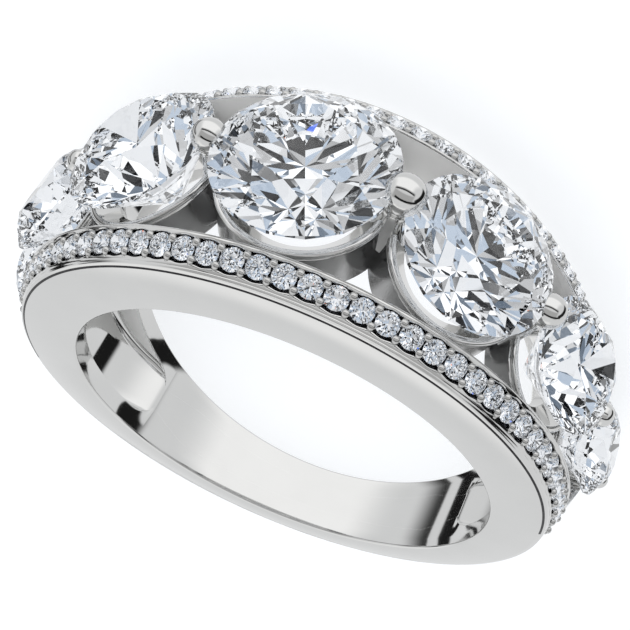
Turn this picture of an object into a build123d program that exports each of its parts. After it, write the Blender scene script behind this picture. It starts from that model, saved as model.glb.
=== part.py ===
from build123d import *
import os
from math import atan, cos, degrees, hypot, pi, radians, sin, tan

# Diamond wedding ring: a cast mount, seven graduated brilliants and two rows of small stones.
# The ring is drawn about its finger axis, +Z, with the centre stone outwards along -Y,
# and is laid on its rear side face at the end. Angles run round the finger axis from the
# centre stone, positive towards -X. Millimetres and degrees.

# Band
finger_bore_d = 16.9
side_face_width = 2.1       # of each flat side face, from the finger bore to its outer edge
band_rise = 0.7             # how far the side faces' centres lie above the finger axis
band_width = 5.69           # across the flat sides, at the height of the finger axis
side_lean = 9.16            # each flat side leans, so the band is widest at the centre stone
rail_slope = 18.6           # the outer surface rises from each side face towards the middle
crown_round = 2.5           # rounding of the crest where the two slopes meet, under the finger
outer_edge_bevel = 0.15
bore_edge_bevel = 0.1

# Rails and the hollow under the stones
outer_border = 0.34         # metal between a flat side and its row of small stones
inner_border = 0.15         # metal between the row and the open gallery
web_thickness = 0.9         # side wall between the finger bore and the rail
hollow_depth = 1.3          # depth of the hollow, out from the finger bore
hollow_end = 128.0          # where the hollow runs out in the shank
hollow_ramp = 26.0          # length of the run-out, before that end
run_out_turn = 50.0         # how far the floor has turned from straight inwards where it meets the bore
shoulder_lip = 0.5          # solid band left between the last claw and the shank

# Main stones, from the centre one outwards on each side
main_stone_ds = (6.38, 5.76, 4.74, 3.5)
girdle_stands = (1.18, 1.11, 1.0, 0.93)   # girdle above the circle of the side faces
claw_gap = 0.53             # between neighbouring girdles
girdle_thickness = 0.16
crown_angle = 34.5
pavilion_angle = 40.8
table_share = 0.56          # table width in girdle widths
star_reach = 0.76           # where the star facets end, in girdle radii
half_reach = 0.24           # where the lower halves end, in girdle radii
girdle_steps = 2            # flats of the round girdle along each half facet

# Cups
cup_share = 0.96            # cup width in girdle widths
rim_drop = 1.03             # rim below the girdle
rim_lip = 0.28              # flat top of the rim
rim_bead = 0.3              # height of the rim's bead, above its groove
rim_groove = 0.07           # depth of the groove
seat_width = 0.9            # from the outer wall to the open middle
foot_drop = 0.15            # foot of the cups below the roof of the hollow
foot_bite = 0.15            # how far the soldered foot reaches into the rails
foot_height = 0.4
least_wall = 0.2            # upright wall left under a low seat

# Claws, from the one beside the centre stone outwards
claw_ball_ds = (1.2, 0.94, 0.74, 0.62)
ball_rise = 0.62            # height of a ball above the girdles, in its own radii
stem_taper = 0.72           # stem width under the ball, in ball widths
stem_spread = 1.25          # stem width at its foot, in ball widths
stem_length = 2.1
stone_clearance = 0.04      # between a main stone and the claw that is notched for it

# Rows of small stones
small_stone_l = 0.79        # along the rail
small_stone_w = 0.82        # across the rail
small_stone_gap = 0.11      # between neighbouring girdles
small_crown = 0.14
small_girdle = 0.05
small_pavilion = 0.34
small_table = 0.58
small_sides = 8
row_end = 98.5              # last stone's place, round the side face's centre
channel_depth = 0.14
channel_run_out = 0.6       # past the last stone, in steps of the row
small_sink = 0.1            # girdle of the small stones below the rail's surface
seat_clearance = 0.04

# Allowances of the cutting shapes
past = 1.0                  # how far a cutter runs past what it cuts
arc_steps = 24              # chords of a wide sector

# Worked out
bore_r = finger_bore_d / 2
outer_r = bore_r + side_face_width
lean = tan(radians(side_lean))
slope = tan(radians(rail_slope))
hollow_r = bore_r + hollow_depth
reach = outer_r + band_rise + max(girdle_stands) + main_stone_ds[0]
blank_width = 3 * band_width
channel_width = small_stone_w + 2 * seat_clearance
row_inset = outer_border + channel_width / 2
rail_width = outer_border + channel_width + inner_border
row_r = outer_r + row_inset * slope
row_step = degrees((small_stone_l + small_stone_gap) / row_r)


def outward(angle):
    """Direction from the finger axis at an angle from the centre stone."""
    return Vector(-sin(radians(angle)), -cos(radians(angle)), 0)


def outer_radius_at(angle):
    """Distance from the finger axis to the circle of the side faces."""
    a = radians(angle)
    return band_rise * cos(a) + (outer_r ** 2 - (band_rise * sin(a)) ** 2) ** 0.5


def half_width_at(y, inset=0.0):
    """Half the band's width at a height, less an inset from the flat side."""
    return band_width / 2 - inset - lean * y


def seat_plane(point, direction):
    """Plane whose +Z is a stone's outward direction and whose +X is the finger axis."""
    return Plane(origin=point, x_dir=(0, 0, 1), z_dir=direction)


def between_sides(inset):
    """The space between the two leaning sides, each moved inwards by the inset."""
    point_y = min(reach, (band_width / 2 - inset) / lean)
    top = half_width_at(-reach, inset)
    foot = half_width_at(point_y, inset)
    corners = [(-reach, -top), (-reach, top), (point_y, foot), (point_y, -foot)]
    if point_y < reach:
        corners = corners[:3]
    section = make_face(Polyline(*corners, close=True))
    along = Plane(origin=(-reach, 0, 0), x_dir=(0, 1, 0), z_dir=(1, 0, 0))
    return extrude(along * section, 2 * reach)


def fan(end_angle, radius):
    """Sector about the finger axis, from minus to plus an angle, open towards the centre stone."""
    turns = [end_angle * (2 * i / arc_steps - 1) for i in range(arc_steps + 1)]
    rim = [outward(turn) * radius for turn in turns]
    section = make_face(Polyline(Vector(0, 0, 0), *rim, close=True))
    return extrude(section, blank_width / 2, both=True)


def face_frame():
    """Axes of the front side face: +Z out of it, +X towards the centre stone."""
    a = radians(side_lean)
    origin = (0, -band_rise, half_width_at(-band_rise))
    return Plane(origin=origin, x_dir=(0, -cos(a), sin(a)), z_dir=(0, sin(a), cos(a)))


# Places of the main stones and claws
def half_angle(index, angle):
    """Half the angle that a stone's girdle takes up, seen from the finger axis."""
    return degrees(atan(main_stone_ds[index] / 2 / girdle_height(index, angle)))


def girdle_height(index, angle):
    return outer_radius_at(angle) + girdle_stands[index]


def girdle_edge_radius(index, angle):
    return hypot(girdle_height(index, angle), main_stone_ds[index] / 2)


def place_stones():
    """Angles of the stones and of the claws on one side, edge to edge with a gap for each claw."""
    angles = [0.0]
    claws = []
    for index in range(1, len(main_stone_ds) + 1):
        last = angles[-1]
        edge = last + half_angle(index - 1, last)
        gap = degrees(claw_gap / girdle_edge_radius(index - 1, last))
        claws.append(edge + gap / 2)
        if index < len(main_stone_ds):
            guess = edge + gap + half_angle(index, edge)
            angles.append(edge + gap + half_angle(index, guess))
    return angles, claws


stone_angles, claw_angles = place_stones()
gallery_end = claw_angles[-1] + degrees(shoulder_lip / outer_r)


# Band and hollow
def make_half_band():
    """Front half: a low cone round the side face's own axis, cut off at the ring's middle."""
    depth = 2 * band_width
    low = bore_r / 2
    rim = outer_r + outer_edge_bevel * slope
    points = [(low, 0), (outer_r - outer_edge_bevel, 0), (rim, -outer_edge_bevel),
              (outer_r + depth * slope, -depth), (low, -depth)]
    profile = make_face(Polyline(*[(x, 0, z) for x, z in points], close=True))
    cone = face_frame() * revolve(profile, Axis.Z)
    front = Pos(0, 0, blank_width / 2) * Box(4 * outer_r, 4 * outer_r, blank_width)
    half = (cone & front) - Cylinder(bore_r, 2 * blank_width)
    mouth = half.faces().sort_by(Axis.Z)[-1].edges().sort_by(SortBy.LENGTH)[0]
    return chamfer(mouth, bore_edge_bevel)


def make_band():
    """Both halves, with the crest between them rounded."""
    half = make_half_band()
    band = half + mirror(half, about=Plane.XY)
    crest = band.edges().filter_by_position(Axis.Z, -seat_clearance, seat_clearance).sort_by(SortBy.LENGTH)[-1]
    return fillet(crest, crown_round)


def hollow_outline():
    """Plan of the hollow: full depth over the top, and a smooth run-out into each shoulder."""
    inside = bore_r - past
    full = hollow_end - hollow_ramp
    roof_end = outward(full) * hollow_r
    roof_start = outward(-full) * hollow_r
    roof = ThreePointArc(roof_start, outward(0) * hollow_r, roof_end)
    right = Spline(roof_end, outward(hollow_end) * bore_r,
                   tangents=(outward(full + 90), outward(hollow_end + run_out_turn)))
    left = Spline(outward(-hollow_end) * bore_r, roof_start,
                  tangents=(outward(-hollow_end - run_out_turn) * -1, outward(-full - 90) * -1))
    down = Line(outward(hollow_end) * bore_r, outward(hollow_end) * inside)
    back = ThreePointArc(outward(hollow_end) * inside, outward(0) * inside, outward(-hollow_end) * inside)
    up = Line(outward(-hollow_end) * inside, outward(-hollow_end) * bore_r)
    return make_face(Curve() + [roof, right, down, back, up, left])


def make_hollow():
    """Space inside the band, between the two thin side walls."""
    return extrude(hollow_outline(), blank_width / 2, both=True) & between_sides(web_thickness)


def make_gallery():
    """Open space between the two rails, where the cups stand."""
    ring = Cylinder(reach, blank_width) - Cylinder(bore_r - past, blank_width)
    return ring & between_sides(rail_width) & fan(gallery_end, reach)


# Cups and claws
def cup_section(index, angle):
    """Half section of a cup in its own axes: radius and height from the finger axis."""
    wall = main_stone_ds[index] / 2 * cup_share
    rim = girdle_height(index, angle) - rim_drop
    foot = hollow_r - foot_drop
    seat_fall = (seat_width - rim_lip) * tan(radians(pavilion_angle))
    inner = wall - seat_width
    shoulder = rim - rim_bead
    neck = wall - rim_groove
    foot_r = half_width_at(-hollow_r * cos(radians(angle)), rail_width) + foot_bite
    points = [(inner, foot), (foot_r, foot), (foot_r, foot + foot_height),
              (neck, foot + foot_height), (neck, shoulder - rim_groove),
              (wall, shoulder), (wall, rim - rim_groove), (neck, rim),
              (wall - rim_lip, rim), (inner, max(rim - seat_fall, foot + least_wall))]
    return make_face(Polyline(*[(x, 0, z) for x, z in points], close=True))


def cup_axes(angle):
    return seat_plane((0, 0, 0), outward(angle))


def make_cup(index, angle):
    return cup_axes(angle) * revolve(cup_section(index, angle), Axis.Z)


def make_claw(index, angle, edge_radius):
    """Ball on a stem that widens towards the cups."""
    ball_r = claw_ball_ds[index] / 2
    height = edge_radius + ball_rise * ball_r
    ball = Pos(0, 0, height) * Sphere(ball_r)
    stem = Pos(0, 0, height - stem_length / 2) * Cone(ball_r * stem_spread, ball_r * stem_taper, stem_length)
    return cup_axes(angle) * (ball + stem)


def claw_edge_radius(index):
    """Mean girdle edge of the two stones beside a claw."""
    inner = girdle_edge_radius(index, stone_angles[index])
    if index + 1 == len(main_stone_ds):
        return inner
    return (inner + girdle_edge_radius(index + 1, stone_angles[index + 1])) / 2


def stone_envelope(index, angle):
    """Round outline of a stone, a little larger, which the claws are notched for."""
    r = main_stone_ds[index] / 2 + stone_clearance
    half = girdle_thickness / 2 + stone_clearance
    crown = (r - table_share * r) * tan(radians(crown_angle))
    depth = r * tan(radians(pavilion_angle))
    points = [(0, half + crown), (table_share * r, half + crown), (r, half), (r, -half), (0, -half - depth)]
    section = make_face(Polyline(*[(x, 0, z) for x, z in points], close=True))
    solid = revolve(section, Axis.Z)
    return seat_plane(outward(angle) * girdle_height(index, angle), outward(angle)) * solid


def both_sides(angle):
    return (angle,) if angle == 0 else (angle, -angle)


# Cut stones
def closed_solid(rings):
    """Solid from flat facets, each a list of corner points."""
    faces = [Face(Wire.make_polygon([Vector(*p) for p in ring], close=True)) for ring in rings]
    return Solid(Shell(faces))


def girdle_turns(start, end):
    """Directions of the girdle's corners from one angle to another."""
    return [start + (end - start) * step / girdle_steps for step in range(girdle_steps + 1)]


def facet_height(a_point, b_point, c_point):
    """Height of the plane through three points where it meets the round girdle."""
    u = b_point - a_point
    v = c_point - a_point
    n = u.cross(v)

    def height(a, radius):
        x = radius * cos(a) - a_point.X
        y = radius * sin(a) - a_point.Y
        return a_point.Z - (n.X * x + n.Y * y) / n.Z

    return height


def round_brilliant(diameter):
    """Table, 8 stars, 8 kites and 16 halves over a round girdle, 16 halves and 8 mains under it."""
    r = diameter / 2
    top = girdle_thickness / 2
    crown = r * (1 - table_share) * tan(radians(crown_angle))
    depth = r * tan(radians(pavilion_angle))
    eighth = 2 * pi / 8
    star_z = top + crown * (1 - star_reach * cos(eighth / 2)) / (1 - table_share)
    half_z = -top - depth * (1 - half_reach * cos(eighth / 2))
    culet = Vector(0, 0, -top - depth)

    def at(radius, a, z):
        return Vector(radius * cos(a), radius * sin(a), z)

    rings = [[at(table_share * r, eighth * k, top + crown) for k in range(8)]]
    girdle_top = []
    girdle_low = []
    for k in range(8):
        a = eighth * k
        before = a - eighth / 2
        after = a + eighth / 2
        table_point = at(table_share * r, a, top + crown)
        next_table = at(table_share * r, a + eighth, top + crown)
        star_before = at(star_reach * r, before, star_z)
        star_after = at(star_reach * r, after, star_z)
        low_before = at(half_reach * r, before, half_z)
        low_after = at(half_reach * r, after, half_z)
        girdle_main = at(r, a, top)
        rings.append([table_point, star_after, next_table])
        rings.append([table_point, star_before, girdle_main, star_after])
        rings.append([culet, low_before, at(r, a, -top), low_after])
        for star, low, start, end in ((star_before, low_before, before, a), (star_after, low_after, a, after)):
            upper = facet_height(star, at(r, start, top), at(r, end, top))
            lower = facet_height(low, at(r, start, -top), at(r, end, -top))
            upper_arc = [at(r, turn, upper(turn, r)) for turn in girdle_turns(start, end)]
            lower_arc = [at(r, turn, lower(turn, r)) for turn in girdle_turns(start, end)]
            rings.append([star] + upper_arc)
            rings.append([low] + lower_arc)
            girdle_top += upper_arc[:-1]
            girdle_low += lower_arc[:-1]
    count = len(girdle_top)
    for i in range(count):
        j = (i + 1) % count
        rings.append([girdle_top[i], girdle_top[j], girdle_low[j], girdle_low[i]])
    return closed_solid(rings)


def oval_ring(length, width, z, share=1.0):
    """Corner points of a small stone's outline: +X runs across the rail, +Y along it."""
    turn = pi / small_sides
    step = 2 * pi / small_sides
    return [Vector(width / 2 * share * cos(turn + step * k), length / 2 * share * sin(turn + step * k), z)
            for k in range(small_sides)]


def small_stone():
    """Small, nearly round stone with a table, eight crown and eight pavilion facets."""
    length = small_stone_l / cos(pi / small_sides)
    width = small_stone_w / cos(pi / small_sides)
    top = small_girdle / 2
    girdle_top = oval_ring(length, width, top)
    girdle_low = oval_ring(length, width, -top)
    table = oval_ring(length, width, top + small_crown, small_table)
    culet = Vector(0, 0, -top - small_pavilion)
    rings = [table]
    for k in range(small_sides):
        j = (k + 1) % small_sides
        rings.append([table[k], girdle_top[k], girdle_top[j], table[j]])
        rings.append([girdle_top[k], girdle_top[j], girdle_low[j], girdle_low[k]])
        rings.append([girdle_low[k], girdle_low[j], culet])
    return closed_solid(rings)


def small_seat():
    """Cutter for a small stone's seat: its outline and pavilion, a clearance larger and open above."""
    length = (small_stone_l + 2 * seat_clearance) / cos(pi / small_sides)
    width = (small_stone_w + 2 * seat_clearance) / cos(pi / small_sides)
    mouth = oval_ring(length, width, small_sink + small_crown)
    ledge = oval_ring(length, width, -small_girdle / 2)
    tip = Vector(0, 0, -small_girdle / 2 - small_pavilion - seat_clearance)
    rings = [mouth]
    for k in range(small_sides):
        j = (k + 1) % small_sides
        rings.append([mouth[k], ledge[k], ledge[j], mouth[j]])
        rings.append([ledge[k], ledge[j], tip])
    return closed_solid(rings)


def row_angles():
    """Angles of the small stones round the side face's centre."""
    count = int(row_end / row_step)
    return [row_step * k for k in range(-count, count + 1)]


def row_place(angle, sink):
    """Place of a small stone on the front rail, with +Z out of the rail and +X across it."""
    a = radians(angle)
    tilt = radians(rail_slope)
    spoke = Vector(cos(a), -sin(a), 0)
    out = spoke * cos(tilt) + Vector(0, 0, sin(tilt))
    across = Vector(0, 0, cos(tilt)) - spoke * sin(tilt)
    point = spoke * row_r - Vector(0, 0, row_inset) - out * sink
    return face_frame().location * Plane(origin=point, x_dir=across, z_dir=out).location


def row_of(shape):
    """One shape at every place of the front row."""
    return [row_place(angle, small_sink) * shape for angle in row_angles()]


def other_side(shapes):
    return [mirror(shape, about=Plane.XY).solid() for shape in shapes]


def make_channel():
    """Shallow channel along the front rail, between two thin borders."""
    half = channel_width / 2
    low = [(row_r + side * half * slope - channel_depth, -row_inset - side * half) for side in (-1, 1)]
    top = [(x + past, z) for x, z in reversed(low)]
    section = make_face(Polyline(*[(x, 0, z) for x, z in low + top], close=True))
    ring = face_frame() * revolve(section, Axis.Z)
    sector = Pos(0, -band_rise, 0) * fan(row_angles()[-1] + row_step * channel_run_out, reach)
    return ring & sector


def make_mount():
    mount = make_band() - make_hollow() - make_gallery()
    cups = []
    claws = []
    notches = []
    for index, stone_angle in enumerate(stone_angles):
        for angle in both_sides(stone_angle):
            cups.append(make_cup(index, angle))
            notches.append(stone_envelope(index, angle))
        for angle in both_sides(claw_angles[index]):
            claws.append(make_claw(index, angle, claw_edge_radius(index)))
    mount = mount + claws
    mount = mount + cups
    seats = row_of(small_seat())
    channel = make_channel()
    for cutters in (seats, other_side(seats), notches, [channel] + other_side([channel])):
        mount = mount - cutters
    return mount


def build_nodes():
    """The solids of every node, in the ring's own axes."""
    nodes = {"ring_mount": make_mount().solids()}
    for index, stone_angle in enumerate(stone_angles):
        stone = round_brilliant(main_stone_ds[index])
        for angle in both_sides(stone_angle):
            name = "centre_stone" if index == 0 else f"{'right' if angle > 0 else 'left'}_stone_{index}"
            nodes[name] = [seat_plane(outward(angle) * girdle_height(index, angle), outward(angle)) * stone]
    nodes["front_pave_stones"] = row_of(small_stone())
    nodes["rear_pave_stones"] = other_side(nodes["front_pave_stones"])
    return nodes


def lay_flat(nodes):
    """Turn the ring onto its rear side face and stand the middle of its box over the origin."""
    turn = Rot(-side_lean, 0, 0)
    box = Compound([turn * solid for solids in nodes.values() for solid in solids]).bounding_box()
    middle = box.center()
    place = Pos(-middle.X, -middle.Y, -box.min.Z) * turn
    placed = {}
    for name, solids in nodes.items():
        moved = [place * solid for solid in solids]
        placed[name] = Compound(moved) if len(moved) > 1 else moved[0]
    return placed, place


if __name__ == "__main__":
    os.makedirs("parts", exist_ok=True)
    placed_nodes, placing = lay_flat(build_nodes())
    for node_name, node_shape in placed_nodes.items():
        export_step(node_shape, f"parts/{node_name}.step")
    print("stone angles", [round(a, 2) for a in stone_angles], "claw angles", [round(a, 2) for a in claw_angles])
    print("finger axis passes", placing.position, "gallery ends at", round(gallery_end, 2))
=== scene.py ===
import bpy
import bmesh
from math import atan2, cos, degrees, hypot, pi, radians, sin, sqrt, tan
from mathutils import Matrix, Quaternion, Vector
from random import Random


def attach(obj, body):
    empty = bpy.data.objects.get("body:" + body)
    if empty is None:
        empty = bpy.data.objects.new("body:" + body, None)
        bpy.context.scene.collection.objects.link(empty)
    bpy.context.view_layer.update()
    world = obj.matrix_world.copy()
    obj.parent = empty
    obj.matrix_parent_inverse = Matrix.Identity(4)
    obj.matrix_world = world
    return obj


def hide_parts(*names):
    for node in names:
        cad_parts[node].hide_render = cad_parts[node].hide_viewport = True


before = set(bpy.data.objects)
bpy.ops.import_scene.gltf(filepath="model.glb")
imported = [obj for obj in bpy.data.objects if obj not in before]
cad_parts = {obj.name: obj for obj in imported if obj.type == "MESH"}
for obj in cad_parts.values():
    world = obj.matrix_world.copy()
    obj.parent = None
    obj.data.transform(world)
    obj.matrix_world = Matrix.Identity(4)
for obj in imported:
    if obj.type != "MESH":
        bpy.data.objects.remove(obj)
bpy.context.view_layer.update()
mm = 0.001

# The ring's own axes: finger axis along Z, centre stone outwards along -Y, angles towards -X.
# It lies on its rear side face, so the finger axis leans back from upright. Sizes in mm and degrees.
ring = {
    "axisPlace": Vector((0.0, 1.8939, 2.80872)),  # where the finger axis crosses the middle
    "sideLean": 9.16,                             # of each flat side
    "width": 5.69,                                # between the sides at the finger axis
    "boreRadius": 8.45,
    "faceRadius": 10.55,
    "faceRise": 0.7,                              # side face's centre above the finger axis
    "railSlope": 18.6,
}
layFlat = Matrix.Translation(ring["axisPlace"]) @ Matrix.Rotation(radians(-ring["sideLean"]), 4, "X")
leanAngle = radians(ring["sideLean"])
slopeAngle = radians(ring["railSlope"])
lean = tan(leanAngle)
slope = tan(slopeAngle)


def inRow(point):  # a point of the ring's own axes to metres of the row
    return (layFlat @ Vector(point)) * mm


def outward(angle):
    return Vector((-sin(radians(angle)), -cos(radians(angle)), 0.0))


def linearColour(hexText):
    values = [int(hexText[i:i + 2], 16) / 255 for i in (1, 3, 5)]
    return [v / 12.92 if v <= 0.04045 else ((v + 0.055) / 1.055) ** 2.4 for v in values] + [1.0]


def addNode(tree, kind, settings=None, links=None):
    node = tree.nodes.new(kind)
    for key, value in (settings or {}).items():
        if isinstance(key, int) or key in node.inputs:
            node.inputs[key].default_value = value
        else:
            setattr(node, key, value)
    for socket, source in (links or {}).items():
        tree.links.new(source, node.inputs[socket])
    return node


def addObject(name, data):
    item = bpy.data.objects.new(name, data)
    bpy.context.scene.collection.objects.link(item)
    return item


def newMaterial(name):
    material = bpy.data.materials.new(name)
    material.use_nodes = True
    material.node_tree.nodes.clear()
    return material, material.node_tree


def glowMaterial(name, colour, strength):
    material, tree = newMaterial(name)
    glow = addNode(tree, "ShaderNodeEmission", {"Color": linearColour(colour), "Strength": strength})
    addNode(tree, "ShaderNodeOutputMaterial", {}, {"Surface": glow.outputs["Emission"]})
    return material


# What all the metals share: the noise's detail, the span of the clouds, and how deep a mark can be in mm.
metalNoise = {"cloudDetail": 3.0, "cloudLow": 0.3, "cloudHigh": 0.8, "markDetail": 1.0, "markReach": 0.01}

# Rhodium-plated white gold, cast and mirror polished: a cool bright mirror with hairline wheel marks.
goldLook = {
    "colour": "#D5D5D4",
    "colourSpread": "#CFCFCE",
    "roughness": 0.05,
    "roughnessSpread": 0.05,
    "cloudSize": 1.6,         # mm across the patches where the polish is a little softer
    "markSize": 0.06,         # mm between the finest marks
    "markDepth": 0.015,
    "metallic": 1.0,
}

# Walls inside the gallery, tumbled but out of the wheel's reach: a softer sheen that blurs what it mirrors,
# and a darker colour that is painted shade for the gallery under the stones.
satinAndShadeLook = {"colour": "#B2B2B2", "colourSpread": "#A4A4A4", "roughness": 0.16, "roughnessSpread": 0.06,
             "cloudSize": 1.6, "markSize": 0.05, "markDepth": 0.03, "metallic": 1.0}

# Grains raised with a tool and rounded over the stones: small and bright, with a touch greyer colour than
# the band that is painted shade among the stones.
grainAndShadeLook = {"colour": "#C6C6C5", "colourSpread": "#BABAB9", "roughness": 0.08, "roughnessSpread": 0.05,
             "cloudSize": 1.6, "markSize": 0.05, "markDepth": 0.03, "metallic": 1.0}

# Flat inner walls of the rails, left fine matt from the mould: an even light grey.
mattLook = {"colour": "#F8F8F7", "colourSpread": "#F0F0EF", "roughness": 0.6, "roughnessSpread": 0.06,
            "cloudSize": 1.6, "markSize": 0.05, "markDepth": 0.03, "metallic": 0.3}

# Bottom of a cut channel: darker and matt, a painted shade for the deep seats, so it reads as black gaps.
recessShadeLook = {"colour": "#3A3A3C", "colourSpread": "#1C1C1E", "roughness": 0.35, "roughnessSpread": 0.1,
              "cloudSize": 0.4, "markSize": 0.12, "markDepth": 0.2, "metallic": 1.0}


def makeMetal(name, look):
    material, tree = newMaterial(name)
    place = addNode(tree, "ShaderNodeTexCoord")
    clouds = addNode(tree, "ShaderNodeTexNoise", {
        "Scale": 1 / (look["cloudSize"] * mm), "Detail": metalNoise["cloudDetail"]},
        {"Vector": place.outputs["Object"]})
    tone = addNode(tree, "ShaderNodeMix", {
        "data_type": "RGBA", 6: linearColour(look["colour"]), 7: linearColour(look["colourSpread"])},
        {0: clouds.outputs["Fac"]})
    polish = addNode(tree, "ShaderNodeMapRange", {
        "From Min": metalNoise["cloudLow"], "From Max": metalNoise["cloudHigh"],
        "To Min": look["roughness"], "To Max": look["roughness"] + look["roughnessSpread"]},
        {"Value": clouds.outputs["Fac"]})
    marks = addNode(tree, "ShaderNodeTexNoise", {
        "Scale": 1 / (look["markSize"] * mm), "Detail": metalNoise["markDetail"]},
        {"Vector": place.outputs["Object"]})
    bump = addNode(tree, "ShaderNodeBump", {
        "Strength": look["markDepth"], "Distance": metalNoise["markReach"] * mm},
        {"Height": marks.outputs["Fac"]})
    shader = addNode(tree, "ShaderNodeBsdfPrincipled", {"Metallic": look["metallic"]}, {
        "Base Color": tone.outputs[2], "Roughness": polish.outputs["Result"],
        "Normal": bump.outputs["Normal"]})
    addNode(tree, "ShaderNodeOutputMaterial", {}, {"Surface": shader.outputs["BSDF"]})
    return material


# Cut diamond: bright, sharp facets from its high refraction. Its thin surface shine keeps dark facets dark.
diamondLook = {"colour": "#F8FAFD", "surfaceShine": "#898989", "ior": 2.417, "roughness": 0.0,
               "transmission": 1.0}


def makeDiamond(name):
    material, tree = newMaterial(name)
    shader = addNode(tree, "ShaderNodeBsdfPrincipled", {
        "Base Color": linearColour(diamondLook["colour"]), "Roughness": diamondLook["roughness"],
        "IOR": diamondLook["ior"], "Specular Tint": linearColour(diamondLook["surfaceShine"]),
        "Transmission Weight": diamondLook["transmission"]})
    addNode(tree, "ShaderNodeOutputMaterial", {}, {"Surface": shader.outputs["BSDF"]})
    return material


gold = makeMetal("rhodiumWhiteGoldPolished", goldLook)
satinAndShadeGold = makeMetal("whiteGoldSatinPaintedShadeInGallery", satinAndShadeLook)
grainAndShadeGold = makeMetal("whiteGoldBeadPushedPaintedShade", grainAndShadeLook)
mattGold = makeMetal("whiteGoldMattInnerWall", mattLook)
recessShadeGold = makeMetal("whiteGoldPaintedShadeInRecess", recessShadeLook)
diamond = makeDiamond("diamondCut")
smallDiamond = makeDiamond("diamondSmallCut")
mountLooks = [gold, recessShadeGold, satinAndShadeGold, mattGold]
slotOf = {"polished": 0, "recess": 1, "satin": 2, "matt": 3}  # where each stands in that list
print("materials made")


def halfWidth(y, inset=0.0):
    return ring["width"] / 2 - inset - lean * y


def faceSpoke(phi):  # round the front side face's own centre, towards the centre stone at 0
    turn = radians(phi)
    return Vector((-sin(turn), -cos(leanAngle) * cos(turn), sin(leanAngle) * cos(turn)))


faceOut = Vector((0, sin(leanAngle), cos(leanAngle)))
faceCentre = Vector((0, -ring["faceRise"], halfWidth(-ring["faceRise"])))


def otherSide(point):
    return Vector((point.x, point.y, -point.z))


def facePoint(phi, rho, depth):
    return faceCentre + faceSpoke(phi) * rho - faceOut * depth


def ringAngle(point):
    return degrees(atan2(-point.x, -point.y))


def wallPoint(theta, radius, inset):  # on a plane parallel to the front side face
    point = outward(theta) * radius
    return Vector((point.x, point.y, halfWidth(point.y, inset)))


def smooth(low, high, value):
    share = min(1.0, max(0.0, (value - low) / (high - low)))
    return share * share * (3 - 2 * share)


def shellFrom(rings, capped):  # a tube through rings of points, as points and faces
    count = len(rings[0])
    points = [point for row in rings for point in row]
    faces = []
    for i in range(len(rings) - 1):
        for j in range(count):
            k = (j + 1) % count
            faces.append((i * count + j, i * count + k, (i + 1) * count + k, (i + 1) * count + j))
    if capped:
        faces.append(tuple(range(count))[::-1])
        faces.append(tuple((len(rings) - 1) * count + j for j in range(count)))
    return points, faces


# Distances in mm at which a shell's points are joined and its thin faces dropped; angle of a sharp edge.
weld = {"points": 0.0004, "faces": 0.0002, "sharpAngle": 38}


def makePiece(name, shells, materials):  # one object, each shell's normals turned outwards
    whole = bmesh.new()
    for points, faces, slots in shells:
        part = bmesh.new()
        corners = [part.verts.new(inRow(point)) for point in points]
        for number, face in enumerate(faces):
            made = part.faces.new([corners[i] for i in face])
            made.material_index = slots[number] if slots else 0
        bmesh.ops.remove_doubles(part, verts=part.verts, dist=weld["points"] * mm)
        bmesh.ops.dissolve_degenerate(part, edges=part.edges, dist=weld["faces"] * mm)
        bmesh.ops.recalc_face_normals(part, faces=part.faces)
        held = bpy.data.meshes.new("shell")
        part.to_mesh(held)
        part.free()
        whole.from_mesh(held)
        bpy.data.meshes.remove(held)
    data = bpy.data.meshes.new(name)
    whole.to_mesh(data)
    whole.free()
    data.shade_smooth()
    data.set_sharp_from_angle(angle=radians(weld["sharpAngle"]))
    for material in materials:
        data.materials.append(material)
    return addObject(name, data)


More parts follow.
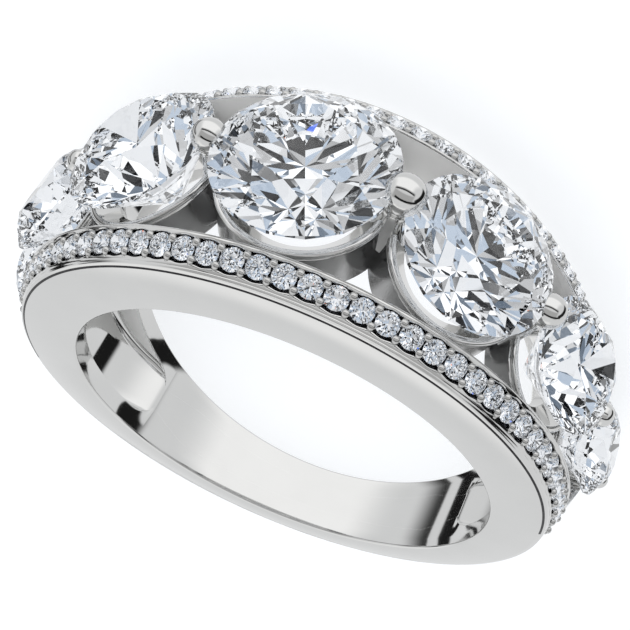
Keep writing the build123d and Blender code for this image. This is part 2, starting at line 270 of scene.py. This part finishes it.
# The band: two rails over the top and the shank between them, swept round the finger.
band = {
    "crownRound": 2.5,          # rounding of the crest under the finger
    "crestSteps": 7,
    "crestRepeats": 5,          # of the search for a crest point's radius
    "stoneStep": 4.7837,        # between neighbouring small stones, round the side face's centre
    "stationsPerStone": 8,
    "stationReach": 160,        # stations on each side of the middle
    "stationGap": 0.2,          # least step from the last station to the gallery's end
    "galleryEnd": 91.79,        # round the finger axis
    "channelEnd": (97.0, 98.7),
    "fineStep": 0.6,            # stations of the shank, in degrees, up to where the coarser ones start
    "coarseStart": 100,
    "coarseSteps": 120,
    "boreBevel": 0.1,
    "bevelSteps": 4,
    "webInset": 0.9,
    "wallInset": 1.39,
    "wallRise": 0.9,            # of the rail's inner wall above the hollow's roof, before the rim takes over
    "roofRadius": 9.75,
    "pocket": (96.0, 125.6),    # where the hollow's floor starts to rise and where it meets the bore
    "pocketCurve": (2.2, 1.25),
    "pocketRound": 0.3,
    "pocketRoundSteps": 5,
    "pocketStandOff": 0.002,
    "pocketMiddle": (0.66, 0.33, 0.0),  # points across the floor, as shares of the way from the middle
    "pocketEnd": (7.0, 0.62),   # its last stretch in degrees, over which each side rounds in by this much
    "edgeRound": 0.05,
    "edgeShare": 0.3,           # how far in the middle point of a rounded edge lies
    "rimShare": 0.93,           # most of the half width that a rim may take where the band is narrow
    "rimEdge": 0.08,            # depth of the outer edge, which runs on where the row ends
    "groove": (0.084, 0.098, 0.112),  # depths of the fine line beside the face, and where it runs out
    "grooveEnd": (56.0, 74.0),
    "recessDepth": 0.04,        # points of the rim this far down belong to the channel
    "scallop": 0.06,
    # Top of a rail: depth from the side face, height over the plain slope, share of the scallop.
    "rim": [
        (0.0, -0.15, 0), (0.01, -0.13, 0), (0.03, -0.076, 0), (0.052, -0.026, 0), (0.074, -0.002, 0),
        (0.084, -0.005, 0), (0.098, -0.008, 0), (0.112, -0.004, 0), (0.124, 0.0, 0), (0.150, 0.003, 0),
        (0.182, 0.0, 0), (0.194, -0.007, 0), (0.208, -0.002, 0), (0.228, 0.008, 0.2), (0.262, 0.012, 0.9),
        (0.290, 0.002, 1), (0.304, -0.04, 1), (0.310, -0.30, 1), (0.36, -0.46, 1), (0.79, -0.50, 0),
        (1.18, -0.46, -1), (1.226, -0.30, -1), (1.232, -0.04, -1), (1.246, -0.004, -1), (1.272, 0.006, -0.6),
        (1.298, 0.0, -0.2), (1.312, -0.012, 0), (1.326, 0.0, 0), (1.346, 0.004, 0), (1.362, -0.008, 0),
        (1.369, -0.03, 0), (1.3720, -0.07, 0)],
}


def crestDrop(z):  # how far the rounded crest lies below the meeting slopes
    crest = band["crownRound"]
    reach = crest * sin(slopeAngle)
    if abs(z) >= reach:
        return 0.0
    return slope * (reach - abs(z)) - sqrt(crest ** 2 - z ** 2) + sqrt(crest ** 2 - reach ** 2)


def rimPoints(phi):  # from the side face inwards across the top
    row = 1 - smooth(*band["channelEnd"], abs(phi))
    cusp = band["scallop"] * sin(pi * phi / band["stoneStep"]) ** 2 * row
    room = halfWidth(facePoint(phi, ring["faceRadius"], 0).y) * cos(leanAngle) * band["rimShare"]
    squeeze = min(1.0, room / band["rim"][-1][0])
    points = []
    for depth, height, share in band["rim"]:
        lift = height if depth < band["rimEdge"] else height * row
        if depth in band["groove"]:
            lift *= 1 - smooth(*band["grooveEnd"], abs(phi))
        inside = (depth + share * cusp) * squeeze
        point = facePoint(phi, ring["faceRadius"] + slope * inside + lift, inside)
        if row < 1:
            point -= outward(ringAngle(point)) * crestDrop(point.z) * (1 - row)
        points.append(point)
    return points


def crestPoints(last):  # on from there to the middle of the ring
    count = band["crestSteps"]
    theta = ringAngle(last)
    points = []
    radius = last.xy.length
    for step in range(1, count + 1):
        z = last.z * (1 - step / count)
        for repeat in range(band["crestRepeats"]):
            probe = outward(theta) * radius + Vector((0, 0, z)) - faceCentre
            depth = -probe.dot(faceOut)
            radius += ring["faceRadius"] + slope * depth - (probe + faceOut * depth).length
        points.append(outward(theta) * (radius - crestDrop(z)) + Vector((0, 0, z)))
    return points


def pocketNarrowing(theta):  # rounds the pocket's end, and is gone two stretches past it
    stretch, most = band["pocketEnd"]
    share = max(0.0, (abs(theta) - band["pocket"][1] + stretch) / stretch)
    return most * (1 - sqrt(1 - share ** 2) if share <= 1 else max(0.0, (3 - share) / 2))


def bevelPoints(theta):  # the rounded edge from the side face to the bore
    bevel = band["boreBevel"]
    turns = [pi / 2 * step / band["bevelSteps"] for step in range(band["bevelSteps"] + 1)]
    return [wallPoint(theta, ring["boreRadius"] + bevel * (1 - sin(a)), bevel * (1 - cos(a))) for a in turns]


def borePoints(theta, floor):  # from the side face inwards over the bore, to the middle of the hollow
    bore = ring["boreRadius"]
    web = band["webInset"] + pocketNarrowing(theta)
    edge, near = band["edgeRound"], band["edgeRound"] * band["edgeShare"]
    rounding = min(band["pocketRound"], max(0.0, floor - bore - edge))
    points = bevelPoints(theta)
    points += [wallPoint(theta, bore, band["webInset"] / 2), wallPoint(theta, bore, web - edge)]
    for radius, inset in ((bore + near, web - near), (bore + edge, web)):
        points.append(wallPoint(theta, min(radius, floor), inset))
    for step in range(band["pocketRoundSteps"] + 1):
        turn = pi / 2 * step / band["pocketRoundSteps"]
        points.append(wallPoint(theta, max(bore, floor - rounding * (1 - sin(turn))),
                                web + band["pocketRound"] * (1 - cos(turn)) + band["pocketStandOff"]))
    last = points[-1]
    for share in band["pocketMiddle"]:
        points.append(Vector((last.x, last.y, last.z * share)))
    return points


def floorRadius(theta):
    start, end = band["pocket"]
    share = min(1.0, max(0.0, (abs(theta) - start) / (end - start)))
    depth = band["roofRadius"] - ring["boreRadius"]
    power, falloff = band["pocketCurve"]
    return ring["boreRadius"] + depth * (1 - share ** power) ** falloff


def makeRail(side):
    reach = band["stationReach"]
    stations = [band["stoneStep"] * k / band["stationsPerStone"] for k in range(-reach, reach + 1)]
    stations = [phi for phi in stations if abs(phi) < galleryPhi - band["stationGap"]]
    roof, wall, web, bore = band["roofRadius"], band["wallInset"], band["webInset"], ring["boreRadius"]
    edge, near = band["edgeRound"], band["edgeRound"] * band["edgeShare"]
    rings = []
    for phi in [-galleryPhi] + stations + [galleryPhi]:
        rim = rimPoints(phi)
        theta = ringAngle(facePoint(phi, ring["faceRadius"], 0))
        inner = ringAngle(rim[-1])
        loop = rim + [
            wallPoint(inner, roof + band["wallRise"], wall), wallPoint(inner, roof + edge, wall),
            wallPoint(inner, roof, wall - edge), wallPoint(theta, roof, web + edge),
            wallPoint(theta, roof - edge, web), wallPoint(theta, bore + edge, web),
            wallPoint(theta, bore + near, web - near), wallPoint(theta, bore, web - edge)]
        loop += bevelPoints(theta)[::-1]
        rings.append(loop if side > 0 else [otherSide(point) for point in loop])
    points, faces = shellFrom(rings, True)
    count = len(rings[0])
    matt = (len(rim) - 1, len(rim), len(rim) + 4)  # the rail's inner wall and, after the roof, the web's
    slots = [slotOf["polished"]] * len(faces)
    for i in range(len(faces) - 2):  # all but the two ends
        # channel faces get the recess metal, whose darker colour is painted shade for the deep seats
        if i % count in recessSpan:
            slots[i] = slotOf["recess"]
        elif i % count in matt:
            slots[i] = slotOf["matt"]
    return points, faces, slots


def makeShank():
    step, split, count = band["fineStep"], band["coarseStart"], band["coarseSteps"]
    half = [galleryPhi]
    while half[0] + step * len(half) < split:
        half.append(half[0] + step * len(half))
    half += [split + (180 - split) * k / count for k in range(count)] + [180.0]
    turns = half + [360 - phi for phi in half[-2::-1]]
    rings = []
    for phi in turns:
        turn = phi if phi <= 180 else phi - 360
        rim = rimPoints(turn)
        theta = ringAngle(facePoint(turn, ring["faceRadius"], 0))
        crest = crestPoints(rim[-1])
        bore = borePoints(theta, floorRadius(theta))
        front = rim + crest
        back = [otherSide(point) for point in front[-2::-1]]
        under = [otherSide(point) for point in bore] + bore[-2::-1]
        rings.append(front + back + under)
    points, faces = shellFrom(rings, True)
    outer, inner, count = len(front) + len(back), len(bore), len(rings[0])
    webWall = len(bevelPoints(0)) + 3  # from the rounded edge of the web to the pocket's floor
    matt = (outer + webWall, outer + 2 * inner - 3 - webWall)  # on the rear side and on the front
    slots = [slotOf["polished"]] * len(faces)
    for i in range(len(faces) - 2):  # all but the two ends
        if i % count in matt:
            slots[i] = slotOf["matt"]
    return points, faces, slots


phiSearch = {"reach": 12, "halvings": 40}


def phiOf(theta):  # angle round the side face's centre for one round the finger axis
    low, high = theta - phiSearch["reach"], theta + phiSearch["reach"]
    for repeat in range(phiSearch["halvings"]):
        middle = (low + high) / 2
        if ringAngle(facePoint(middle, ring["faceRadius"], 0)) < theta:
            low = middle
        else:
            high = middle
    return middle


galleryPhi = phiOf(band["galleryEnd"])
rimHeights = [height for depth, height, share in band["rim"]]
# faces across a rail's channel, which take the painted shade of the recess metal
recessSpan = [i for i in range(len(rimHeights) - 1) if max(rimHeights[i:i + 2]) <= -band["recessDepth"]]

# The open cups that hold the main stones, and the ball-tipped claws between them.
settings = {
    "stoneDiameters": (6.38, 5.76, 4.74, 3.5),
    "stoneAngles": (0.0, 29.98, 56.86, 79.19),
    "clawAngles": (15.58, 44.4, 69.35, 89.07),
    "girdleStands": (1.18, 1.11, 1.0, 0.93),
    "cupShare": 0.96,
    "rimDrop": 1.03,
    "foot": 9.6,
    "footGap": 0.2,             # least height of a cup's lines above its foot
    "cupSegments": 112,
    "ballDiameters": {1: (1.5, 1.24, 0.94, 0.7), -1: (1.26, 0.98, 0.78, 0.66)},  # each side of the middle
    "ballRise": 0.12,           # in ball radii, like the stem's profile
    "ballTurns": (0, 133, 7),   # from the ball's top down, in degrees
    "ballPole": 1e-5,
    "stemProfile": [(0.72, -0.80), (0.70, -0.92), (0.80, -1.2)],
    "stemFoot": 1.3,
    "stemLength": 2.1,
    "flutes": 11,
    "fluteDepth": 0.045,
    "flutedRings": 2,
    "clawSegments": 66,
    # From the seat over the rolled lip and two fine beads to the wall: out from the wall, up from the rim.
    "cupProfile": [
        (-0.90, -0.62), (-0.60, -0.34), (-0.30, -0.075), (-0.255, -0.035), (-0.225, -0.010),
        (-0.18, 0.003), (-0.12, 0.004), (-0.06, -0.010), (-0.025, -0.032), (-0.006, -0.062),
        (-0.010, -0.088), (-0.034, -0.100), (-0.036, -0.112), (-0.012, -0.122), (0.0, -0.150),
        (-0.004, -0.182), (-0.030, -0.198), (-0.046, -0.212), (-0.032, -0.228), (-0.022, -0.250),
        (-0.030, -0.276), (-0.052, -0.290), (-0.07, -0.31), (-0.07, -0.45)],
    # Round the cup's lower end: out from the wall, up from the foot.
    "footProfile": [(-0.07, 0.05), (-0.12, 0.0), (-0.85, 0.0), (-0.9, 0.05)],
}


def outerRadiusAt(angle):
    rise, a = ring["faceRise"], radians(angle)
    return rise * cos(a) + sqrt(ring["faceRadius"] ** 2 - (rise * sin(a)) ** 2)


def girdleHeight(index):
    return outerRadiusAt(settings["stoneAngles"][index]) + settings["girdleStands"][index]


def girdleEdge(index):
    return hypot(girdleHeight(index), settings["stoneDiameters"][index] / 2)


def lathe(profile, angle, segments, closed, satin, fluted=0):  # about the line out from the finger axis
    out = outward(angle)
    along = Vector((0, 0, 1))
    side = out.cross(along)
    rings = []
    for number, (radius, height) in enumerate(profile):
        depth = settings["fluteDepth"] if number >= len(profile) - fluted else 0
        ringPoints = []
        for k in range(segments):
            turn = 2 * pi * k / segments
            reach = radius * (1 - depth * (1 + cos(turn * settings["flutes"])))
            ringPoints.append(out * height + (along * cos(turn) + side * sin(turn)) * reach)
        rings.append(ringPoints)
    if closed:
        rings.append(rings[0])
    points, faces = shellFrom(rings, False)
    slots = [slotOf["satin" if i // segments in satin else "polished"] for i in range(len(faces))]
    return points, faces, slots


def makeCup(index, angle):
    wall = settings["stoneDiameters"][index] / 2 * settings["cupShare"]
    rim = girdleHeight(index) - settings["rimDrop"]
    foot = settings["foot"]
    profile = [(wall + out, max(rim + up, foot + settings["footGap"])) for out, up in settings["cupProfile"]]
    profile += [(wall + out, foot + up) for out, up in settings["footProfile"]]
    lastBead = len(settings["cupProfile"]) - 2
    # the cup's plain wall takes the satin metal, whose darker colour is painted shade
    plainWall = range(lastBead, lastBead + 3)  # from under the last bead round the foot's outer edge
    return lathe(profile, angle, settings["cupSegments"], True, plainWall)


def makeClaw(index, angle):
    ball = settings["ballDiameters"][1 if angle > 0 else -1][index] / 2
    last = min(index + 1, len(settings["stoneAngles"]) - 1)
    height = (girdleEdge(index) + girdleEdge(last)) / 2 + settings["ballRise"] * ball
    profile = [(ball * sin(radians(a)) + settings["ballPole"], height + ball * cos(radians(a)))
               for a in range(*settings["ballTurns"])]
    profile += [(ball * out, height + ball * up) for out, up in settings["stemProfile"]]
    profile.append((ball * settings["stemFoot"], height - settings["stemLength"]))
    return lathe(profile, angle, settings["clawSegments"], False, [], settings["flutedRings"])


shells = [makeRail(1), makeRail(-1), makeShank()]
for index, angle in enumerate(settings["stoneAngles"]):
    for turn in ((0.0,) if index == 0 else (angle, -angle)):
        shells.append(makeCup(index, turn))
for index, angle in enumerate(settings["clawAngles"]):
    for turn in (angle, -angle):
        shells.append(makeClaw(index, turn))
mount = makePiece("polishedMount", shells, mountLooks)
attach(mount, "root")
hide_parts("ring_mount")
mount.visible_transmission = False  # so that the stones show the studio, not the grey of their cups
print("mount modelled", len(mount.data.polygons))

# Rows of small brilliants and the grains that hold them.
rows = {
    "count": 20,             # stones on each side of the middle one
    "inset": 0.79,           # row's middle line in from the side face
    "stoneDiameter": 0.84,
    "girdleSinks": {"front": 0.07, "rear": -0.02},  # below the rail's surface
    "tableShare": 0.56,
    "starReach": 0.76,
    "halfReach": 0.24,
    "crown": 0.30,           # heights in girdle radii
    "girdle": 0.03,
    "pavilion": 0.80,
    "grainSubdivisions": 2,
    # Grains beside each gap: inset from the side face, radius, height of their middle.
    "grains": [(0.475, 0.165, -0.02), (1.035, 0.165, -0.02), (0.345, 0.10, -0.035)],
}


def brilliantShape(name, radius, material):
    eighth = pi / 4
    top = rows["girdle"]
    starHigh = top + rows["crown"] * (1 - rows["starReach"] * cos(eighth / 2)) / (1 - rows["tableShare"])
    halfLow = -top - rows["pavilion"] * (1 - rows["halfReach"] * cos(eighth / 2))

    def ringOf(count, reach, height, start):
        turns = [start + 2 * pi * k / count for k in range(count)]
        return [Vector((reach * cos(turn), reach * sin(turn), height)) * radius * mm for turn in turns]

    points = ringOf(8, rows["tableShare"], top + rows["crown"], 0)
    points += ringOf(8, rows["starReach"], starHigh, eighth / 2)
    points += ringOf(16, 1.0, top, 0) + ringOf(16, 1.0, -top, 0)
    points += ringOf(8, rows["halfReach"], halfLow, eighth / 2)
    points.append(Vector((0, 0, -top - rows["pavilion"])) * radius * mm)
    table, star, high, low, half, culet = 0, 8, 16, 32, 48, 56  # where each ring of points starts
    faces = [tuple(range(8))]
    for k in range(8):
        j = (k + 1) % 8
        before = (k - 1) % 8
        faces += [(table + k, star + k, table + j), (table + k, star + before, high + 2 * k, star + k),
                  (star + k, high + 2 * k, high + 2 * k + 1), (star + k, high + 2 * k + 1, high + 2 * j),
                  (half + k, low + 2 * k + 1, low + 2 * k), (half + k, low + 2 * j, low + 2 * k + 1),
                  (culet, half + k, low + 2 * k, half + before)]
    for k in range(16):
        j = (k + 1) % 16
        faces.append((high + k, low + k, low + j, high + j))
    data = bpy.data.meshes.new(name)
    data.from_pydata(points, [], faces)
    solid = bmesh.new()
    solid.from_mesh(data)
    bmesh.ops.recalc_face_normals(solid, faces=solid.faces)
    solid.to_mesh(data)
    solid.free()
    data.materials.append(material)
    return addObject(name, data)


placeValues = {"outDirection": "FLOAT_VECTOR", "acrossDirection": "FLOAT_VECTOR", "placeSize": "FLOAT"}


def placesMesh(name, entries):  # loose points that carry two directions and a size
    data = bpy.data.meshes.new(name)
    data.from_pydata([entry[0] for entry in entries], [], [])
    for number, (label, kind) in enumerate(placeValues.items(), 1):
        layer = data.attributes.new(label, kind, "POINT")
        if kind == "FLOAT":
            layer.data.foreach_set("value", [entry[number] for entry in entries])
        else:
            layer.data.foreach_set("vector", [v for entry in entries for v in entry[number]])
    return addObject(name, data)


def railPlace(phi, inset, height, side, size):
    spoke = faceSpoke(phi)
    out = spoke * cos(slopeAngle) + faceOut * sin(slopeAngle)
    across = faceOut * cos(slopeAngle) - spoke * sin(slopeAngle)
    point = facePoint(phi, ring["faceRadius"] + slope * inset, inset) + out * height
    if side < 0:
        point, out, across = otherSide(point), otherSide(out), otherSide(across)
    turned = layFlat.to_3x3()
    return inRow(point), turned @ out, turned @ across, size


def buildCopies(name, places, shape, material, shadeSmooth):  # one shape at every place, as a plain mesh
    tree = bpy.data.node_groups.new(name + "Nodes", "GeometryNodeTree")
    tree.interface.new_socket(name="Places", in_out="INPUT", socket_type="NodeSocketGeometry")
    shapeSocket = tree.interface.new_socket(name="Shape", in_out="INPUT", socket_type="NodeSocketObject")
    lookSocket = tree.interface.new_socket(name="Look", in_out="INPUT", socket_type="NodeSocketMaterial")
    tree.interface.new_socket(name="Geometry", in_out="OUTPUT", socket_type="NodeSocketGeometry")
    given = addNode(tree, "NodeGroupInput")
    stored = {}
    for label, kind in placeValues.items():
        reader = addNode(tree, "GeometryNodeInputNamedAttribute", {"data_type": kind, "Name": label})
        stored[label] = reader.outputs["Attribute"]
    upright = addNode(tree, "FunctionNodeAlignRotationToVector", {"axis": "Z"},
                      {"Vector": stored["outDirection"]})
    turned = addNode(tree, "FunctionNodeAlignRotationToVector", {"axis": "X", "pivot_axis": "Z"},
                     {"Rotation": upright.outputs["Rotation"], "Vector": stored["acrossDirection"]})
    shapeInfo = addNode(tree, "GeometryNodeObjectInfo", {}, {"Object": given.outputs["Shape"]})
    copies = addNode(tree, "GeometryNodeInstanceOnPoints", {}, {
        "Points": given.outputs["Places"], "Instance": shapeInfo.outputs["Geometry"],
        "Rotation": turned.outputs["Rotation"], "Scale": stored["placeSize"]})
    real = addNode(tree, "GeometryNodeRealizeInstances", {}, {"Geometry": copies.outputs["Instances"]})
    shaded = addNode(tree, "GeometryNodeSetShadeSmooth", {"Shade Smooth": shadeSmooth},
                     {"Geometry": real.outputs["Geometry"]})
    dressed = addNode(tree, "GeometryNodeSetMaterial", {}, {
        "Geometry": shaded.outputs["Geometry"], "Material": given.outputs["Look"]})
    addNode(tree, "NodeGroupOutput", {}, {"Geometry": dressed.outputs["Geometry"]})
    modifier = places.modifiers.new(name, "NODES")
    modifier.node_group = tree
    modifier[shapeSocket.identifier] = shape
    modifier[lookSocket.identifier] = material
    graph = bpy.context.evaluated_depsgraph_get()
    data = bpy.data.meshes.new_from_object(places.evaluated_get(graph))
    data.name = name
    for label in placeValues:
        if label in data.attributes:
            data.attributes.remove(data.attributes[label])
    bpy.data.objects.remove(places)
    print(name, len(data.polygons), len(data.materials))
    return addObject(name, data)


stoneShape = brilliantShape("brilliantShape", rows["stoneDiameter"] / 2, smallDiamond)
# the grains take the grain metal, whose greyer colour is painted shade
grainShape = brilliantShape("grainShape", 1.0, grainAndShadeGold)
ball = bmesh.new()
bmesh.ops.create_icosphere(ball, subdivisions=rows["grainSubdivisions"], radius=mm)
ball.to_mesh(grainShape.data)
ball.free()

for side, label in ((1, "front"), (-1, "rear")):
    entries = [railPlace(band["stoneStep"] * k, rows["inset"], -rows["girdleSinks"][label], side, 1.0)
               for k in range(-rows["count"], rows["count"] + 1)]
    places = placesMesh(label + "StonePlaces", entries)
    stones = buildCopies(label + "SmallStones", places, stoneShape, smallDiamond, False)
    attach(stones, "root")
    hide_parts(label + "_pave_stones")
    entries = [railPlace(band["stoneStep"] * (k + 0.5), inset, height, side, radius)
               for k in range(-rows["count"] - 1, rows["count"] + 1)
               for inset, radius, height in rows["grains"]]
    places = placesMesh(label + "GrainPlaces", entries)
    grains = buildCopies(label + "Grains", places, grainShape, grainAndShadeGold, True)
    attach(grains, "root")
bpy.data.objects.remove(stoneShape)
bpy.data.objects.remove(grainShape)
print("rows set")

for nodeName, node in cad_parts.items():
    if nodeName != "ring_mount" and "pave" not in nodeName:
        node.data.materials.clear()
        node.data.materials.append(diamond)
print("stones dressed")

# Stage: a plain white floor under a white studio sky with a few dark flags and brighter boxes in it. Metres.
stage = {
    "floorReach": 1.0,        # from the middle to each side
    "floorColour": "#A0A2A5",
    "floorRoughness": 0.5,
    "floorShine": 0.2,
    "floorGlowColour": "#F4F6F8",
    "floorGlow": 0.76,
    "wallColour": "#FFFFFF",
    "wallGlow": 1.0,
    "wallRadius": 0.98,
    "wallHeight": 2.0,
    "wallSegments": 48,
    "skyColour": "#F4F5F6",
    "skyStrength": 1.0,
    # Soft boxes aimed at the ring and mirrored by nothing: name, place, power in watts.
    "lamps": [("overheadSoftBox", (0.0, 0.05, 0.6), 0.5),
              ("frontSoftBox", (0.0, -0.5, 0.32), 2.0)],  # between the rails, onto their matt walls
    "lampSide": 0.4,
}

# Patches of the sky: azimuth from +Y towards +X, elevation, turn, half width, half length,
# softness on the low and high side, softness at the ends, brightness. Degrees.
skyPatches = [
    ("frontGlow", 180, -14, 0, 34, 25, 22, 22, 12, 1.30),
    ("topBox", 20, 42, 0, 26, 16, 14, 14, 12, 1.15),
    ("leftFlag", -85.5, -12, 0, 7.5, 32, 6, 1, 8, 0.015),
    ("rightFlag", 75, -14, 0, 4, 30, 2, 1, 8, 0.015),
    ("rightSoftFlag", 89.6, -14, 0, 0.6, 30, 1, 17, 8, 0.05),
    ("upperShade", -168, 62, -90, 16, 48, 8, 8, 14, 0.55),
    ("frontLine", -170, 25, -90, 2.0, 46, 1, 11, 12, 0.03),
    ("overheadBar", -106, 66, -148, 4.6, 56, 1, 2, 8, 0.01),
]

# Cards that only the cut stones see, scattered over the front half of the sky as dark and coloured glints.
stoneCards = {
    "seed": 11,
    "count": 92,
    "reach": 82.0,            # degrees from the middle direction
    "middle": (180, 38),      # azimuth, elevation
    "shortest": 0.1,          # shortest drawn vector that still gives a direction
    "distance": 0.35,
    "spacing": 0.002,         # share by which each card lies further out, so that no two share a plane
    "width": (8.0, 18.0),     # degrees
    "height": (5.0, 12.0),
    "glintSize": 2.4,
    # Colour, brightness, share of the cards, glint or not.
    "looks": [("#0E1014", 1.0, 0.27, False), ("#6E7A88", 1.0, 0.21, False), ("#BCC9D8", 1.0, 0.36, False),
              ("#FF7A2E", 1.5, 0.08, True), ("#5078F0", 1.2, 0.08, True)],
}


def makeFloor():
    material, tree = newMaterial("whiteStudioFloor")
    shader = addNode(tree, "ShaderNodeBsdfPrincipled", {
        "Base Color": linearColour(stage["floorColour"]), "Roughness": stage["floorRoughness"],
        "Specular IOR Level": stage["floorShine"], "Emission Color": linearColour(stage["floorGlowColour"]),
        "Emission Strength": stage["floorGlow"]})
    addNode(tree, "ShaderNodeOutputMaterial", {}, {"Surface": shader.outputs["BSDF"]})
    data = bpy.data.meshes.new("studioFloor")
    far = stage["floorReach"]
    data.from_pydata([(-far, -far, 0), (far, -far, 0), (far, far, 0), (-far, far, 0)], [], [(0, 1, 2, 3)])
    data.materials.append(material)
    floor = addObject("studioFloor", data)
    floor.visible_glossy = floor.visible_transmission = False


def makeWall():  # round the floor, seen by the camera alone, so that it hides the flags behind it
    data = bpy.data.meshes.new("studioWall")
    shell = bmesh.new()
    bmesh.ops.create_cone(shell, cap_ends=False, segments=stage["wallSegments"], radius1=stage["wallRadius"],
                          radius2=stage["wallRadius"], depth=stage["wallHeight"])
    shell.to_mesh(data)
    shell.free()
    data.materials.append(glowMaterial("whiteStudioWall", stage["wallColour"], stage["wallGlow"]))
    wall = addObject("studioWall", data)
    wall.visible_diffuse = wall.visible_glossy = wall.visible_transmission = wall.visible_shadow = False


def skyVectors(azimuth, elevation, turn):
    az, el, tilt = radians(azimuth), radians(elevation), radians(turn)
    centre = Vector((sin(az) * cos(el), cos(az) * cos(el), sin(el)))
    level = Vector((cos(az), -sin(az), 0))
    rise = Vector((-sin(az) * sin(el), -cos(az) * sin(el), cos(el)))
    return centre, level * cos(tilt) + rise * sin(tilt), rise * cos(tilt) - level * sin(tilt)


def makeStoneCards():
    draw = Random(stoneCards["seed"])
    middle, level, rise = skyVectors(*stoneCards["middle"], 0)
    points, faces, slots = [], [], []
    while len(faces) < stoneCards["count"]:
        off = Vector((draw.uniform(-1, 1), draw.uniform(-1, 1), draw.uniform(-1, 1)))
        pick, turn = draw.random(), draw.uniform(0, 2 * pi)
        width, height = draw.uniform(*stoneCards["width"]), draw.uniform(*stoneCards["height"])
        if not stoneCards["shortest"] < off.length < 1:
            continue
        if off.normalized().dot(middle) < cos(radians(stoneCards["reach"])):
            continue
        slot = 0
        while slot < len(stoneCards["looks"]) - 1 and pick > stoneCards["looks"][slot][2]:
            pick -= stoneCards["looks"][slot][2]
            slot += 1
        if stoneCards["looks"][slot][3]:
            width = height = stoneCards["glintSize"]
        centre = off.normalized()
        side = centre.orthogonal().normalized()
        side.rotate(Quaternion(centre, turn))
        wide, high = side * tan(radians(width / 2)), centre.cross(side) * tan(radians(height / 2))
        faces.append(tuple(range(len(points), len(points) + 4)))
        far = stoneCards["distance"] * (1 + stoneCards["spacing"] * len(faces))
        points += [(centre + wide * a + high * b) * far for a, b in ((-1, -1), (1, -1), (1, 1), (-1, 1))]
        slots.append(slot)
    data = bpy.data.meshes.new("stoneCards")
    data.from_pydata(points, [], faces)
    data.polygons.foreach_set("material_index", slots)
    for number, look in enumerate(stoneCards["looks"]):
        data.materials.append(glowMaterial(f"stoneCardPaper{number}", look[0], look[1]))
    cards = addObject("stoneCards", data)
    cards.visible_camera = cards.visible_diffuse = cards.visible_glossy = cards.visible_shadow = False


def makeWorld():
    world = bpy.data.worlds.new("studioSky")
    bpy.context.scene.world = world
    world.use_nodes = True
    tree = world.node_tree
    tree.nodes.clear()
    place = addNode(tree, "ShaderNodeTexCoord")

    def share(vector, points):  # of a dot product, raised from 0 to 1 and back between four angles
        dot = addNode(tree, "ShaderNodeVectorMath", {"operation": "DOT_PRODUCT", 1: vector},
                      {0: place.outputs["Generated"]})
        parts = []
        for low, high in (points[:2], points[:1:-1]):
            ramp = addNode(tree, "ShaderNodeMapRange", {
                "interpolation_type": "SMOOTHSTEP", "From Min": sin(radians(low)),
                "From Max": sin(radians(high))}, {"Value": dot.outputs["Value"]})
            parts.append(ramp.outputs["Result"])
        both = addNode(tree, "ShaderNodeMath", {"operation": "MULTIPLY"}, {0: parts[0], 1: parts[1]})
        return both.outputs["Value"]

    tone = addNode(tree, "ShaderNodeRGB")
    tone.outputs[0].default_value = linearColour(stage["skyColour"])
    tone = tone.outputs[0]
    for name, azimuth, elevation, turn, half, length, softLow, softHigh, softEnd, light in skyPatches:
        centre, level, rise = skyVectors(azimuth, elevation, turn)
        across = share(level, (-half - softLow, -half, half, half + softHigh))
        along = share(rise, (-length - softEnd, -length, length, length + softEnd))
        before = addNode(tree, "ShaderNodeVectorMath", {"operation": "DOT_PRODUCT", 1: centre},
                         {0: place.outputs["Generated"]})
        front = addNode(tree, "ShaderNodeMath", {"operation": "GREATER_THAN", 1: 0.0},
                        {0: before.outputs["Value"]})
        mask = addNode(tree, "ShaderNodeMath", {"operation": "MULTIPLY"}, {0: across, 1: along})
        mask = addNode(tree, "ShaderNodeMath", {"operation": "MULTIPLY"},
                       {0: mask.outputs["Value"], 1: front.outputs["Value"]})
        mixed = addNode(tree, "ShaderNodeMix", {"data_type": "RGBA", 7: [light] * 3 + [1.0]},
                        {0: mask.outputs["Value"], 6: tone})
        mixed.name = name
        tone = mixed.outputs[2]
    air = addNode(tree, "ShaderNodeBackground", {"Strength": stage["skyStrength"]}, {"Color": tone})
    addNode(tree, "ShaderNodeOutputWorld", {}, {"Surface": air.outputs["Background"]})


def makeLamps():
    for name, place, power in stage["lamps"]:
        light = bpy.data.lights.new(name, "AREA")
        light.shape = "SQUARE"
        light.size = stage["lampSide"]
        light.energy = power
        lamp = addObject(name, light)
        lamp.location = place
        lamp.rotation_euler = (-Vector(place)).to_track_quat("-Z", "Y").to_euler()
        lamp.visible_glossy = lamp.visible_transmission = False


makeFloor()
makeWall()
makeWorld()
makeStoneCards()
makeLamps()

# Camera, worked out from the outlines of the bore, the face and the stones. Millimetres and degrees.
view = {
    "place": Vector((-13.031, -40.486, 40.731)),
    "aim": Vector((0.494, -0.005, 1.041)),
    "roll": 148.914,
    "lens": 85.257,
    "sensor": 36.0,
    "clip": (0.001, 10.0),      # metres
    "bounces": 20,              # light turns many times inside a cut stone
}


def makeCamera():
    camera = bpy.data.cameras.new("pictureCamera")
    camera.lens = view["lens"]
    camera.sensor_width = view["sensor"]
    camera.sensor_fit = "HORIZONTAL"
    camera.clip_start, camera.clip_end = view["clip"]
    holder = addObject("pictureCamera", camera)
    level = (view["aim"] - view["place"]).to_track_quat("-Z", "Y").to_matrix().to_4x4()
    holder.matrix_world = (Matrix.Translation(view["place"] * mm) @ level
                           @ Matrix.Rotation(radians(-view["roll"]), 4, "Z"))
    bpy.context.scene.camera = holder


makeCamera()
bpy.context.scene.view_settings.view_transform = "Standard"
for limit in ("max_bounces", "glossy_bounces", "transmission_bounces"):
    setattr(bpy.context.scene.cycles, limit, view["bounces"])
print("stage, light and camera set")
